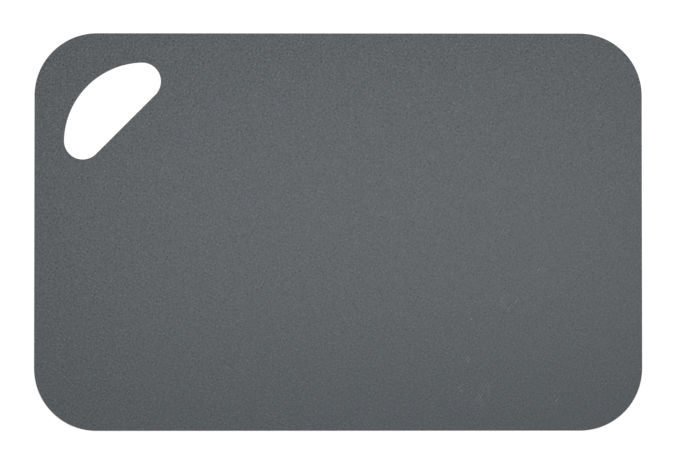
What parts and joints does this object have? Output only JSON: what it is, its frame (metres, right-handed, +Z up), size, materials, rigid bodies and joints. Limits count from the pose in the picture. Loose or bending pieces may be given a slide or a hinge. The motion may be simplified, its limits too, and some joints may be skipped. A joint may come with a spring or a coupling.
{
  "type": "flexible cutting mat",
  "caption": "Thin flexible cutting mat in matt grey plastic, a long rectangle with round corners and a D-shaped hand hole cut across one corner.",
  "frame": {"origin": "middle of the underside", "axes": "+X along the long side, away from the end with the hand hole; +Y along the short side, towards the edge nearest the hand hole; +Z up, out of the cutting face"},
  "size_m": [0.38, 0.2486, 0.002],
  "materials": {
    "mat_plastic": "matte"
  },
  "bodies": {
    "root": {"cutting_mat": "mat_plastic"}
  },
  "joints": []
}
